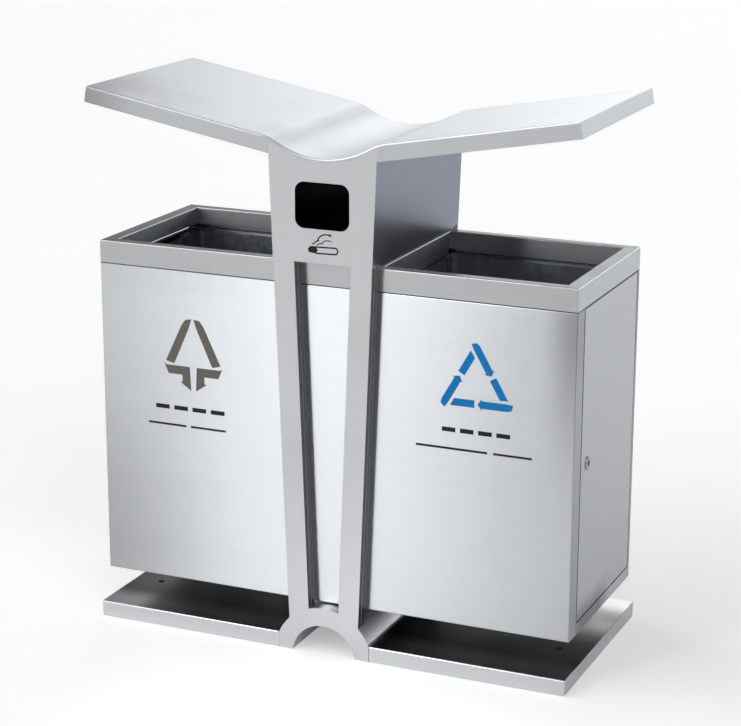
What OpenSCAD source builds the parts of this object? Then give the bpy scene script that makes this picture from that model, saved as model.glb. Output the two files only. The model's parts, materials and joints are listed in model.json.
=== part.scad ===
// Twin-compartment litter bin of folded stainless sheet, millimetres.
// +X is to the right seen from the front, +Y to the back, +Z up.
// The origin is on the floor, under the middle of the base.

/* [Overall] */
// Height from the floor to the tips of the wings
total_h = 1000; // [985:1:1030]
// Depth of the base, the column and the canopy
depth = 400; // [384:2:440]

/* [Base] */
// Width of the base
base_w = 914; // [900:2:960]
// Height of the folded base trays
base_h = 30; // [24:1:36]
// Width of the lip folded in under each tray
base_lip = 16; // [10:1:30]
// Distance between the anchor holes along the width
anchor_span_x = 804; // [760:2:830]
// Distance between the anchor holes along the depth
anchor_span_y = 140; // [100:2:240]
// Diameter of the anchor holes
anchor_d = 12; // [10:1:16]

/* [Arch] */
// Radius of the tunnel under the column
arch_inner_r = 62; // [54:1:68]
// Radius of the arch's outer cover
arch_outer_r = 96; // [92:1:98]
// Depth of the arch's centre below the floor
arch_drop = 8; // [4:1:12]

/* [Column] */
// Width over both legs where they stand on the arch
column_foot_w = 136; // [128:1:144]
// Width of the column where the wings leave it
column_top_w = 202; // [196:1:206]
// Width of the slot between the legs at its foot
slot_foot_w = 58; // [48:1:64]
// Width of the slot between the legs at its head
slot_top_w = 106; // [96:1:112]
// Height of the underside of the column's head
head_z = 722; // [721:1:730]
// Width of the joint line down the sides of each leg
leg_seam_w = 2; // [1:0.5:3]

/* [Ash opening] */
// Width of the ash opening
ash_w = 102; // [80:1:120]
// Height of the ash opening
ash_h = 81; // [60:1:90]
// Height of the ash opening's lower edge
ash_z = 782; // [780:1:800]
// Corner radius of the ash opening
ash_r = 17; // [8:1:25]

/* [Canopy] */
// Width over the top edges of the wing tips
canopy_w = 913; // [900:1:930]
// Thickness of the wings
canopy_t = 29; // [24:1:36]
// Height of the bends where the wings meet the dip
bend_z = 936; // [932:1:942]
// Height of the lowest line of the dip
dip_z = 904; // [900:1:908]
// Radius of the dip
dip_r = 172; // [168:1:180]
// Amount by which the bends are eased
bend_ease = 9; // [4:1:12]
// Depth of the canopy's folded lip over the column
canopy_lip = 6; // [4:0.5:10]

/* [Body] */
// Width of the body
body_w = 907; // [900:1:912]
// Depth of the body
body_d = 348; // [340:2:352]
// Height of the body's underside
body_z = 90; // [89:1:94]
// Height of the rim's lower edge
rim_z = 676; // [660:1:684]
// Height of the rim band
rim_h = 42; // [36:1:44]
// Width of the rim's top, front and back
rim_w_front = 20.5; // [16:0.5:24]
// Width of the rim's top at the two ends
rim_w_end = 25; // [18:0.5:28]
// Depth of the rim's inner flange
rim_flange = 32; // [24:1:34]

/* [Doors] */
// Width of the fixed strip in front of a door
jamb_w = 38; // [30:1:46]
// Width of the fixed strip behind a door
rear_jamb_w = 9; // [8.5:0.5:14]
// Height of the sill strip under a door
sill_h = 20.5; // [16:0.5:24]
// Gap between a door and its frame
door_gap = 1.5; // [1:0.25:2.5]
// Depth of a door's folded edges
door_d = 15.5; // [12:0.5:15.5]
// Diameter of the pivot pins
pivot_d = 5; // [4:0.5:6]
// Distance of the lock behind the body's front face
lock_from_front = 76; // [60:1:120]
// Height of the lock
lock_z = 394; // [300:1:500]
// Diameter of the lock's head
lock_head_d = 24; // [18:1:28]
// Reach of the lock's cam
cam_reach = 46; // [44:1:60]

/* [Liners] */
// Width of a liner
liner_w = 324; // [300:1:325]
// Depth of a liner
liner_d = 288; // [260:1:290]
// Height of a liner
liner_h = 560; // [520:1:562]
// Diameter of a liner's handle wire
wire_d = 6; // [4:1:8]

/* [Sheet] */
// Thickness of the base, column and canopy plates
plate = 1.5; // [1.5:0.5:3]
// Thickness of the body panels and doors
sheet = 1.2; // [1:0.1:1.5]
// Thickness of the galvanised liners and the ash drawer
thin = 1; // [0.8:0.1:1.5]

/* [Hidden] */
$fn = 64;

half_d = depth / 2;
inner_d = half_d - plate;
base_x = base_w / 2;
body_x = body_w / 2;
body_y = body_d / 2;
skin_x = body_x - sheet;
skin_y = body_y - sheet;
rim_top = rim_z + rim_h;
flange_z = rim_top - rim_flange;
rim_w_inner = 3.5;
stainless = [0.80, 0.81, 0.82];
satin = [0.74, 0.75, 0.77];
dark_steel = [0.42, 0.44, 0.48];
galvanised = [0.50, 0.53, 0.56];
chrome = [0.86, 0.87, 0.88];

// arch: where its outer cover meets the top of the base trays
arch_side_x = sqrt(pow(arch_outer_r, 2) - pow(base_h + arch_drop, 2));
tray_lip_x = base_x - base_lip;
anchor_tube_wall = 3;
anchor_tube_d = anchor_d + 2 * anchor_tube_wall;
rib_spots = [180, 300];

// column: half widths over the outer edges and over the slot at height z
column_foot_z = 60;
leg_buried = 20;
column_top_z = 908;
slot_foot_z = 82;
function between(low, high, share) = low + (high - low) * share;
function column_x(z) = between(column_foot_w, column_top_w,
  (z - column_foot_z) / (column_top_z - column_foot_z)) / 2;
function slot_x(z) = between(slot_foot_w, slot_top_w,
  (z - slot_foot_z) / (head_z - slot_foot_z)) / 2;

// canopy: the height of its top face at x, a round dip eased into two straight wings
tip_x = canopy_w / 2;
bend_x = column_top_w / 2;
wing_rise = (total_h - bend_z) / (tip_x - bend_x);
wing_angle = atan(wing_rise);
wing_len = 372;
ease_x = 140;
ease_step = 5;
over = 20;
function dip_top(x) = dip_z + dip_r - sqrt(pow(dip_r, 2) - pow(x, 2));
function wing_top(x) = bend_z + (abs(x) - bend_x) * wing_rise;
function eased_min(a, b) = let (h = max(bend_ease - abs(a - b), 0) / bend_ease)
  min(a, b) - h * h * bend_ease / 4;
function canopy_top(x) = eased_min(dip_top(x), wing_top(x));
rib_share = [0.33, 0.66];

// ash drawer
drawer_x = 75;
drawer_side_gap = 1;
drawer_lift = 0.3;
guide_t = 1.5;
guide_w = 15.5;
guide_end_gap = 1;
drawer_z = 728;
drawer_h = 33;
drawer_front_x = 78.5;
drawer_front_z = 727.5;
drawer_front_h = 48;
drawer_slot_gap = 1.5;
drawer_start_y = -188;
finger_r = 14;
guide_h = 16;

// doors, hinges and locks, all given for the right-hand side
jamb_y = -body_y + jamb_w;
rear_jamb_y = body_y - rear_jamb_w;
sill_z = body_z + sill_h;
hem_w = 12;
door_front_y = jamb_y + door_gap;
door_rear_y = rear_jamb_y - 2 * door_gap;
door_low_z = sill_z + door_gap;
door_top_z = rim_z - door_gap;
frame_x = body_x - door_d;
pivot_x = body_x - 5;
pivot_y = door_rear_y - 4;
pivot_fit = 0.05;
pin_reach = 4;
pivot_plate_z = rim_z + 2;
pivot_plate_t = 3;
pivot_plate_w = 20;
lock_y = -body_y + lock_from_front;
lock_body_d = 19;
lock_nut_d = 30;
lock_plug_d = 12;
lock_proud = 2;
cam_gap = 0.8;
cam_t = 3;
cam_w = 16;
cam_x = frame_x - cam_gap;
tail_w = 7;
key_w = 2;
key_h = 8;
key_depth = 10;
plug_sunk = 0.4;
cam_screw_t = 2;

// liners and their bail handles, given for the right-hand side
liner_side_gap = 3;
liner_front_gap = 3.5;
liner_x = column_x(rim_top) + rim_w_inner + liner_side_gap;
liner_y = door_front_y + liner_front_gap;
liner_z = sill_z + 2;
liner_r = 10;
run_w = 30;
run_end_x = frame_x - 3;
run_share = [0.2, 0.8];
liner_end_x = liner_x + liner_w;
hem_h = 12;
liner_top = liner_z + liner_h;
bail_y = liner_y + liner_d / 2;
bail_below = 12;
bail_z = liner_top - bail_below;
bail_fit = 0.05;
bail_end_gap = 0.3;
lug_t = 3;
lug_w = 24;
rivet_d = 3.5;
rivet_gap = 12;
bail_in = 8;
bail_drop_y = liner_d / 2;
bail_rise = bail_below + wire_d / 2 + 0.5;
bail_tilt = atan(bail_rise / bail_drop_y);
bail_len = sqrt(pow(bail_rise, 2) + pow(bail_drop_y, 2));

// ---- shared shapes ----

// a box between two limits on each axis
module block(x, y, z) {
  translate([x[0], y[0], z[0]])
    cube([x[1] - x[0], y[1] - y[0], z[1] - z[0]]);
}

// an outline drawn in X and Z, carried through the depth between two limits
module through_depth(y) {
  translate([0, y[1], 0])
    rotate([90, 0, 0])
      linear_extrude(y[1] - y[0])
        children();
}

// what is drawn for the right-hand side, moved to the left
module on_left() {
  mirror([1, 0, 0])
    children();
}

// what is drawn for the front, moved to the rear
module at_rear() {
  mirror([0, 1, 0])
    children();
}

// both sides at once
module on_both_sides() {
  children();
  on_left()
    children();
}

// a rectangle with round corners, centred on X, standing on Y = 0
module rounded_rect(w, h, r) {
  translate([-w / 2 + r, 0])
    square([w - 2 * r, h]);
  translate([-w / 2, r])
    square([w, h - 2 * r]);
  for (x = [-w / 2 + r, w / 2 - r])
    for (z = [r, h - r])
      translate([x, z])
        circle(r = r);
}

// a rod along X
module rod_x(x, y, z, d) {
  translate([x[0], y, z])
    rotate([0, 90, 0])
      cylinder(d = d, h = x[1] - x[0]);
}

// ---- base ----

module base_tray() {
  difference() {
    block([arch_side_x, base_x], [-half_d, half_d], [0, base_h]);
    block([arch_side_x + plate, base_x - plate], [-inner_d, inner_d], [plate, base_h - plate]);
    block([arch_side_x + base_lip, tray_lip_x], [base_lip - half_d, half_d - base_lip], [-1, plate + 1]);
    for (y = [-1, 1])
      translate([anchor_span_x / 2, y * anchor_span_y / 2, base_h / 2])
        cylinder(d = anchor_d, h = base_h);
  }
}

module base_right() {
  color(stainless)
    base_tray();
}

module base_left() {
  color(stainless)
    on_left()
      base_tray();
}

module base_ribs() {
  color(dark_steel)
    on_both_sides()
      for (x = rib_spots)
        block([x, x + plate], [-inner_d, inner_d], [plate, base_h - plate]);
}

module anchor_tubes() {
  color(dark_steel)
    for (x = [-1, 1])
      for (y = [-1, 1])
        translate([x * anchor_span_x / 2, y * anchor_span_y / 2, 0])
          difference() {
            cylinder(d = anchor_tube_d, h = base_h - plate);
            translate([0, 0, -1])
              cylinder(d = anchor_d, h = base_h);
          }
}

// ---- arch under the column ----

module arch_disc(r) {
  translate([0, -arch_drop])
    circle(r = r);
}

module arch_face() {
  difference() {
    union() {
      intersection() {
        arch_disc(arch_outer_r);
        translate([-arch_side_x, 0])
          square([2 * arch_side_x, arch_outer_r]);
      }
      translate([-arch_side_x, 0])
        square([2 * arch_side_x, base_h]);
    }
    arch_disc(arch_inner_r);
  }
}

module arch_front_plate() {
  color(stainless)
    through_depth([-half_d, -inner_d])
      arch_face();
}

module arch_rear_plate() {
  color(stainless)
    at_rear()
      through_depth([-half_d, -inner_d])
        arch_face();
}

module arch_tunnel() {
  color(stainless)
    through_depth([-inner_d, inner_d])
      difference() {
        arch_disc(arch_inner_r + plate);
        arch_disc(arch_inner_r);
        translate([-arch_outer_r, -2 * arch_outer_r])
          square(2 * arch_outer_r);
      }
}

module arch_cover() {
  color(dark_steel)
    through_depth([-inner_d, inner_d]) {
      difference() {
        arch_disc(arch_outer_r);
        arch_disc(arch_outer_r - plate);
        translate([-arch_outer_r, base_h - 2 * arch_outer_r])
          square(2 * arch_outer_r);
      }
      for (x = [-arch_side_x, arch_side_x - plate])
        translate([x, 0])
          square([plate, base_h]);
    }
}

// ---- legs ----

// one leg seen from the front, drawn in from its outline by a margin on both sides
module leg_outline(margin, top_z) {
  low_z = column_foot_z - leg_buried;
  difference() {
    polygon([
      [slot_x(low_z) + margin, low_z],
      [column_x(low_z) - margin, low_z],
      [column_x(top_z) - margin, top_z],
      [slot_x(top_z) + margin, top_z]
    ]);
    arch_disc(arch_outer_r);
  }
}

// a hollow leg, with a joint line down both sides where its front and rear halves meet
module leg() {
  seam_y = -(half_d + body_y) / 2;
  difference() {
    through_depth([-half_d, -body_y])
      leg_outline(0, head_z);
    through_depth([-inner_d, -body_y - plate])
      leg_outline(plate, head_z + 1);
    through_depth([seam_y - leg_seam_w / 2, seam_y + leg_seam_w / 2])
      difference() {
        leg_outline(-1, head_z + 1);
        leg_outline(plate / 2, head_z + 2);
      }
  }
}

module front_right_leg() {
  color(stainless)
    leg();
}

module front_left_leg() {
  color(stainless)
    on_left()
      leg();
}

module rear_right_leg() {
  color(stainless)
    at_rear()
      leg();
}

module rear_left_leg() {
  color(stainless)
    at_rear()
      on_left()
        leg();
}

// ---- canopy outlines ----

// everything below the canopy's top face lowered by a drop
module under_canopy(drop) {
  end_x = tip_x + over;
  spots = concat([-end_x], [for (x = [-ease_x : ease_step : ease_x]) x], [end_x]);
  polygon(concat(
    [[end_x, 0], [-end_x, 0]],
    [for (x = spots) [x, (abs(x) > ease_x ? wing_top(x) : canopy_top(x)) - drop]]
  ));
}

// moves an outline into the right-hand wing: U runs out along the wing to its tip, V up from its top face
module along_wing() {
  translate([tip_x, total_h])
    rotate(wing_angle)
      children();
}

module wing_bar(u, v) {
  along_wing()
    translate([u[0], v[0]])
      square([u[1] - u[0], v[1] - v[0]]);
}

// the tapered column, from its foot to above the canopy
module column_outline(margin, z) {
  polygon([
    [margin - column_x(z[0]), z[0]],
    [column_x(z[0]) - margin, z[0]],
    [column_x(z[1]) - margin, z[1]],
    [margin - column_x(z[1]), z[1]]
  ]);
}

// ---- head of the column ----

module head_face() {
  intersection() {
    column_outline(0, [head_z, total_h]);
    under_canopy(canopy_lip);
  }
}

module head_front_panel() {
  color(stainless)
    through_depth([-half_d, -inner_d])
      difference() {
        head_face();
        translate([0, ash_z])
          rounded_rect(ash_w, ash_h, ash_r);
      }
}

module head_rear_panel() {
  color(stainless)
    at_rear()
      through_depth([-half_d, -inner_d])
        difference() {
          head_face();
          translate([-drawer_front_x - drawer_slot_gap, drawer_front_z - drawer_slot_gap])
            square([2 * (drawer_front_x + drawer_slot_gap), drawer_front_h + 2 * drawer_slot_gap]);
        }
}

module side_strip(z) {
  polygon([
    [column_x(z[0]) - plate, z[0]],
    [column_x(z[0]), z[0]],
    [column_x(z[1]), z[1]],
    [column_x(z[1]) - plate, z[1]]
  ]);
}

module head_side() {
  through_depth([-inner_d, inner_d])
    intersection() {
      side_strip([head_z, total_h]);
      under_canopy(plate);
    }
  through_depth([-body_y, body_y])
    side_strip([rim_top, head_z]);
}

module head_right_side() {
  color(dark_steel)
    head_side();
}

module head_left_side() {
  color(dark_steel)
    on_left()
      head_side();
}

module head_floor() {
  color(dark_steel)
    through_depth([-inner_d, inner_d])
      column_outline(plate, [head_z, head_z + plate]);
}

// an angle on each side: the drawer slides on its foot, beside its wall
module drawer_guides() {
  floor_z = head_z + plate;
  wall_x = drawer_x + drawer_side_gap;
  y = [drawer_start_y, inner_d - guide_end_gap];
  color(dark_steel)
    on_both_sides() {
      block([wall_x + guide_t - guide_w, wall_x + guide_t], y, [floor_z, drawer_z - drawer_lift]);
      block([wall_x, wall_x + guide_t], y, [floor_z, floor_z + guide_h]);
    }
}

module ash_drawer() {
  color(galvanised)
    difference() {
      block([-drawer_x, drawer_x], [drawer_start_y, inner_d], [drawer_z, drawer_z + drawer_h]);
      block([thin - drawer_x, drawer_x - thin], [drawer_start_y + thin, inner_d - thin],
        [drawer_z + thin, drawer_z + drawer_h + 1]);
    }
}

module ash_drawer_front() {
  color(stainless)
    through_depth([inner_d, half_d])
      difference() {
        translate([-drawer_front_x, drawer_front_z])
          square([2 * drawer_front_x, drawer_front_h]);
        translate([0, drawer_front_z + drawer_front_h])
          circle(r = finger_r);
      }
}

// ---- canopy ----

// the folded front edge of the canopy: deep along the wings, a narrow lip over the column
module canopy_edge() {
  difference() {
    canopy_section();
    difference() {
      column_outline(0, [0, total_h]);
      difference() {
        under_canopy(0);
        under_canopy(canopy_lip);
      }
    }
  }
}

// the canopy's full section, wings and dip, from its top face down to its underside
module canopy_section() {
  intersection() {
    under_canopy(0);
    union() {
      column_outline(0, [0, total_h]);
      for (side = [0, 1])
        mirror([side, 0])
          wing_bar([-wing_len, 0], [-canopy_t, 1]);
    }
  }
}

// one sheet over both wings, with its front and rear edges folded down
module canopy_skin() {
  color(stainless) {
    through_depth([-half_d, half_d])
      difference() {
        canopy_section();
        under_canopy(plate);
      }
    through_depth([-half_d, -inner_d])
      canopy_edge();
    at_rear()
      through_depth([-half_d, -inner_d])
        canopy_edge();
  }
}

module wing_soffit() {
  through_depth([-inner_d, inner_d])
    difference() {
      wing_bar([-wing_len, -plate], [-canopy_t, plate - canopy_t]);
      column_outline(0, [head_z, total_h]);
    }
}

module right_wing_soffit() {
  color(dark_steel)
    wing_soffit();
}

module left_wing_soffit() {
  color(dark_steel)
    on_left()
      wing_soffit();
}

module wing_end() {
  through_depth([-inner_d, inner_d])
    wing_bar([-plate, 0], [-canopy_t, -plate]);
}

module right_wing_end() {
  color(stainless)
    wing_end();
}

module left_wing_end() {
  color(stainless)
    on_left()
      wing_end();
}

module canopy_ribs() {
  color(dark_steel)
    on_both_sides()
      through_depth([-inner_d, inner_d])
        for (share = rib_share)
          wing_bar([-share * wing_len, plate - share * wing_len], [plate - canopy_t, -plate]);
}

// ---- body ----

// a front or rear panel: its ends fold round the corners to the doorways and then inwards
module wrapped_panel(strip_w) {
  strip_y = strip_w - body_y;
  block([-body_x, body_x], [-body_y, -skin_y], [body_z, rim_z]);
  block([-skin_x, skin_x], [-body_y, hem_w - body_y], [rim_z - sheet, rim_z]);
  block([-skin_x, skin_x], [-body_y, hem_w - body_y], [body_z, body_z + sheet]);
  on_both_sides() {
    block([skin_x, body_x], [-body_y, strip_y], [body_z, rim_z]);
    block([frame_x, body_x], [strip_y - sheet, strip_y], [sill_z, rim_z]);
  }
}

module body_front_panel() {
  color(satin)
    wrapped_panel(jamb_w);
}

module body_rear_panel() {
  color(satin)
    at_rear()
      wrapped_panel(rear_jamb_w);
}

module body_floor() {
  color(dark_steel)
    block([-skin_x, skin_x], [-skin_y, skin_y], [body_z + sheet, body_z + 2 * sheet]);
}

module partition() {
  outer_x = column_x(rim_top);
  channel_y = body_y - rim_w_front;
  block([outer_x - sheet, outer_x], [-skin_y, skin_y], [body_z + 2 * sheet, rim_z - sheet]);
  block([outer_x - sheet, outer_x], [-channel_y, channel_y], [rim_z - sheet, rim_top]);
}

module right_partition() {
  color(satin)
    partition();
}

module left_partition() {
  color(satin)
    on_left()
      partition();
}

// the strip under a doorway, its top folded in to carry the lower pivot pin
module door_sill() {
  y = [jamb_y, rear_jamb_y];
  difference() {
    union() {
      block([skin_x, body_x], y, [body_z, sill_z]);
      block([frame_x, skin_x], y, [sill_z - sheet, sill_z]);
    }
    translate([pivot_x, pivot_y, sill_z - 2 * sheet])
      cylinder(d = pivot_d + 2 * pivot_fit, h = 4 * sheet);
  }
}

module right_door_sill() {
  color(satin)
    door_sill();
}

module left_door_sill() {
  color(satin)
    on_left()
      door_sill();
}

module liner_runners() {
  color(dark_steel)
    on_both_sides()
      for (share = run_share)
        translate([0, liner_y + share * liner_d, 0])
          difference() {
            block([liner_x, run_end_x], [-run_w / 2, run_w / 2], [body_z + 2 * sheet, liner_z]);
            block([liner_x - 1, frame_x + 1], [sheet - run_w / 2, run_w / 2 - sheet],
              [body_z, liner_z - sheet]);
          }
}

module door_pivot_plates() {
  color(dark_steel)
    on_both_sides()
      difference() {
        block([body_x - rim_w_end + sheet, skin_x],
          [pivot_y - pivot_plate_w / 2, pivot_y + pivot_plate_w / 2],
          [pivot_plate_z, pivot_plate_z + pivot_plate_t]);
        translate([pivot_x, pivot_y, pivot_plate_z - 1])
          cylinder(d = pivot_d + 2 * pivot_fit, h = pivot_plate_t + 2);
      }
}

// ---- rim ----

// an upside-down channel: outer band, narrow top and inner flange, drawn with the outer face at 0
module rim_section(w) {
  translate([0, rim_z])
    square([sheet, rim_h]);
  translate([0, rim_top - sheet])
    square([w, sheet]);
  translate([w - sheet, flange_z])
    square([sheet, rim_flange]);
}

// the front channel, cut to a mitre at both corners
module rim_bar() {
  intersection() {
    translate([-body_x, -body_y, 0])
      rotate([90, 0, 90])
        linear_extrude(body_w)
          rim_section(rim_w_front);
    linear_extrude(total_h)
      polygon([
        [-body_x, -body_y],
        [body_x, -body_y],
        [body_x - rim_w_end, rim_w_front - body_y],
        [rim_w_end - body_x, rim_w_front - body_y]
      ]);
  }
}

// the right-hand channel, cut to a mitre at both corners
module rim_end() {
  intersection() {
    translate([body_x, 0, 0])
      mirror([1, 0, 0])
        through_depth([-body_y, body_y])
          rim_section(rim_w_end);
    linear_extrude(total_h)
      polygon([
        [body_x, -body_y],
        [body_x, body_y],
        [body_x - rim_w_end, body_y - rim_w_front],
        [body_x - rim_w_end, rim_w_front - body_y]
      ]);
  }
}

// the narrow angle that lines a mouth beside the column
module rim_inner() {
  inner_x = column_x(rim_top);
  lip_x = inner_x + rim_w_inner;
  y = body_y - rim_w_front;
  block([inner_x, lip_x], [-y, y], [rim_top - sheet, rim_top]);
  block([lip_x - sheet, lip_x], [-y, y], [flange_z, rim_top]);
}

module rim_front() {
  color(satin)
    rim_bar();
}

module rim_rear() {
  color(satin)
    at_rear()
      rim_bar();
}

module rim_right_end() {
  color(satin)
    rim_end();
}

module rim_left_end() {
  color(satin)
    on_left()
      rim_end();
}

module rim_right_inner() {
  color(satin)
    rim_inner();
}

module rim_left_inner() {
  color(satin)
    on_left()
      rim_inner();
}

// ---- doors ----

// a shallow pan: outer skin with all four edges folded in
module door() {
  difference() {
    block([frame_x, body_x], [door_front_y, door_rear_y], [door_low_z, door_top_z]);
    block([frame_x - 1, skin_x], [door_front_y + sheet, door_rear_y - sheet],
      [door_low_z + sheet, door_top_z - sheet]);
    rod_x([frame_x, body_x + 1], lock_y, lock_z, lock_body_d);
  }
}

module right_door() {
  color(satin)
    door();
}

module left_door() {
  color(satin)
    on_left()
      door();
}

module door_pins() {
  translate([pivot_x, pivot_y, sill_z - pin_reach])
    cylinder(d = pivot_d, h = door_low_z - sill_z + pin_reach);
  translate([pivot_x, pivot_y, door_top_z])
    cylinder(d = pivot_d, h = pivot_plate_z + pivot_plate_t + 1 - door_top_z);
}

module right_door_pins() {
  color(dark_steel)
    door_pins();
}

module left_door_pins() {
  color(dark_steel)
    on_left()
      door_pins();
}

// ---- locks ----

module lock_barrel() {
  difference() {
    union() {
      rod_x([frame_x + 1, body_x], lock_y, lock_z, lock_body_d);
      rod_x([body_x, body_x + lock_proud], lock_y, lock_z, lock_head_d);
    }
    rod_x([frame_x, body_x + lock_proud + 1], lock_y, lock_z, lock_plug_d + 2 * pivot_fit);
  }
}

module right_lock_barrel() {
  color(chrome)
    lock_barrel();
}

module left_lock_barrel() {
  color(chrome)
    on_left()
      lock_barrel();
}

module lock_nut() {
  nut_t = 4;
  difference() {
    translate([skin_x - nut_t, lock_y, lock_z])
      rotate([0, 90, 0])
        cylinder(d = lock_nut_d, h = nut_t, $fn = 6);
    rod_x([frame_x, skin_x + 1], lock_y, lock_z, lock_body_d);
  }
}

module right_lock_nut() {
  color(chrome)
    lock_nut();
}

module left_lock_nut() {
  color(chrome)
    on_left()
      lock_nut();
}

// the turning core: keyway in front, square tail and screw head behind
module lock_plug() {
  front_x = body_x + lock_proud - plug_sunk;
  screw_x = cam_x - cam_t;
  difference() {
    union() {
      rod_x([cam_x, front_x], lock_y, lock_z, lock_plug_d);
      block([screw_x, cam_x], [lock_y - tail_w / 2, lock_y + tail_w / 2],
        [lock_z - tail_w / 2, lock_z + tail_w / 2]);
      rod_x([screw_x - cam_screw_t, screw_x], lock_y, lock_z, lock_plug_d);
    }
    block([front_x - key_depth, front_x + 1], [lock_y - key_w / 2, lock_y + key_w / 2],
      [lock_z - key_h / 2, lock_z + key_h / 2]);
  }
}

module right_lock_plug() {
  color(dark_steel)
    lock_plug();
}

module left_lock_plug() {
  color(dark_steel)
    on_left()
      lock_plug();
}

// the cam stands upright here, unlocked; it turns a quarter to reach behind the front jamb
module lock_cam() {
  difference() {
    union() {
      rod_x([cam_x - cam_t, cam_x], lock_y, lock_z, cam_w);
      block([cam_x - cam_t, cam_x], [lock_y - cam_w / 2, lock_y + cam_w / 2],
        [lock_z, lock_z + cam_reach]);
    }
    block([cam_x - cam_t - 1, cam_x + 1], [lock_y - tail_w / 2, lock_y + tail_w / 2],
      [lock_z - tail_w / 2, lock_z + tail_w / 2]);
  }
}

module right_lock_cam() {
  color(chrome)
    lock_cam();
}

module left_lock_cam() {
  color(chrome)
    on_left()
      lock_cam();
}

// ---- liners ----

module liner_plan(grow) {
  translate([liner_x + liner_w / 2, liner_y - grow])
    rounded_rect(liner_w + 2 * grow, liner_d + 2 * grow, liner_r + grow);
}

module liner() {
  difference() {
    union() {
      translate([0, 0, liner_z])
        linear_extrude(liner_h)
          liner_plan(0);
      translate([0, 0, liner_top - hem_h])
        linear_extrude(hem_h)
          liner_plan(thin);
    }
    translate([0, 0, liner_z + thin])
      linear_extrude(liner_h)
        liner_plan(-thin);
  }
}

module right_liner() {
  color(galvanised)
    liner();
}

module left_liner() {
  color(galvanised)
    on_left()
      liner();
}

// a round-topped ear on the inside of a liner's end wall, with the handle's pivot hole
module lug(x) {
  difference() {
    union() {
      rod_x([x, x + lug_t], bail_y, bail_z, lug_w);
      block([x, x + lug_t], [bail_y - lug_w / 2, bail_y + lug_w / 2], [bail_z - lug_w, bail_z]);
    }
    rod_x([x - 1, x + lug_t + 1], bail_y, bail_z, wire_d + 2 * bail_fit);
  }
}

module liner_lugs() {
  color(galvanised)
    on_both_sides() {
      lug(liner_x + thin);
      lug(liner_x + liner_w - thin - lug_t);
    }
}

// two rivets through each lug and the liner's wall, under the pivot hole
module liner_rivets() {
  head_t = 1.2;
  color(galvanised)
    on_both_sides()
      for (y = [-1, 1]) {
        rivet_y = bail_y + y * rivet_gap / 2;
        rivet_z = bail_z - lug_w + rivet_gap / 2;
        rod_x([liner_x - head_t, liner_x], rivet_y, rivet_z, 2 * rivet_d);
        rod_x([liner_x + thin + lug_t, liner_x + thin + lug_t + head_t], rivet_y, rivet_z, 2 * rivet_d);
        rod_x([liner_end_x, liner_end_x + head_t], rivet_y, rivet_z, 2 * rivet_d);
        rod_x([liner_end_x - thin - lug_t - head_t, liner_end_x - thin - lug_t], rivet_y, rivet_z, 2 * rivet_d);
      }
}

// a wire bail: two bent-out ends, two arms and a crossbar that lies on the liner's front edge
module bail() {
  end_x = liner_w / 2 - thin - bail_end_gap;
  arm_x = end_x - bail_in;
  translate([liner_x + liner_w / 2, bail_y, bail_z])
    rotate([-bail_tilt, 0, 0]) {
      for (side = [-1, 1]) {
        rod_x([side < 0 ? -end_x : arm_x, side < 0 ? -arm_x : end_x], 0, 0, wire_d);
        translate([side * arm_x, 0, 0])
          sphere(d = wire_d);
        translate([side * arm_x, 0, 0])
          rotate([90, 0, 0])
            cylinder(d = wire_d, h = bail_len);
        translate([side * arm_x, -bail_len, 0])
          sphere(d = wire_d);
      }
      rod_x([-arm_x, arm_x], -bail_len, 0, wire_d);
    }
}

module right_liner_handle() {
  color(chrome)
    bail();
}

module left_liner_handle() {
  color(chrome)
    on_left()
      bail();
}

base_left();
base_right();
base_ribs();
anchor_tubes();
arch_tunnel();
arch_cover();
arch_front_plate();
arch_rear_plate();
front_left_leg();
front_right_leg();
rear_left_leg();
rear_right_leg();
head_front_panel();
head_rear_panel();
head_left_side();
head_right_side();
head_floor();
drawer_guides();
canopy_skin();
left_wing_soffit();
right_wing_soffit();
left_wing_end();
right_wing_end();
canopy_ribs();
body_front_panel();
body_rear_panel();
body_floor();
left_partition();
right_partition();
left_door_sill();
right_door_sill();
liner_runners();
door_pivot_plates();
rim_front();
rim_rear();
rim_left_end();
rim_right_end();
rim_left_inner();
rim_right_inner();
left_door();
right_door();
left_door_pins();
right_door_pins();
left_lock_barrel();
right_lock_barrel();
left_lock_nut();
right_lock_nut();
left_lock_plug();
right_lock_plug();
left_lock_cam();
right_lock_cam();
left_liner();
right_liner();
liner_lugs();
liner_rivets();
left_liner_handle();
right_liner_handle();
ash_drawer();
ash_drawer_front();
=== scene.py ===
"""Looks of the twin-compartment litter bin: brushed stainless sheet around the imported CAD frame.

Metres, in the frame of the CAD: +X to the right seen from the front, +Y to the back, +Z up.
"""

import json
import math

import bmesh
import bpy
from mathutils import Matrix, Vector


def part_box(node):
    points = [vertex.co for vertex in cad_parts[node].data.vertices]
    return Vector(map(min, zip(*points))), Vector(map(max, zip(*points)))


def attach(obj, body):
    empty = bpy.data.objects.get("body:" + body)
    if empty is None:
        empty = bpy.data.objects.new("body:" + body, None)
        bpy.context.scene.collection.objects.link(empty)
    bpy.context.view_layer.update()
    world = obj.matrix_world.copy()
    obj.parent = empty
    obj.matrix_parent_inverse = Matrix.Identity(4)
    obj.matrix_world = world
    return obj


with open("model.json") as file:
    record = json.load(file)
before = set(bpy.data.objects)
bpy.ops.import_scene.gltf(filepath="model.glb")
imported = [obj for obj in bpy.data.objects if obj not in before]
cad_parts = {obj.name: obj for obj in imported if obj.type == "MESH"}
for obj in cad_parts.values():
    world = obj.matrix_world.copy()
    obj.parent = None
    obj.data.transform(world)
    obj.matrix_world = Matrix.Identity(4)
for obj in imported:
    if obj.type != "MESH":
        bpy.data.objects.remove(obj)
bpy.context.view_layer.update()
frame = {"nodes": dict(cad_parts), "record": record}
nodes = frame["nodes"]
scene = bpy.context.scene

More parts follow.
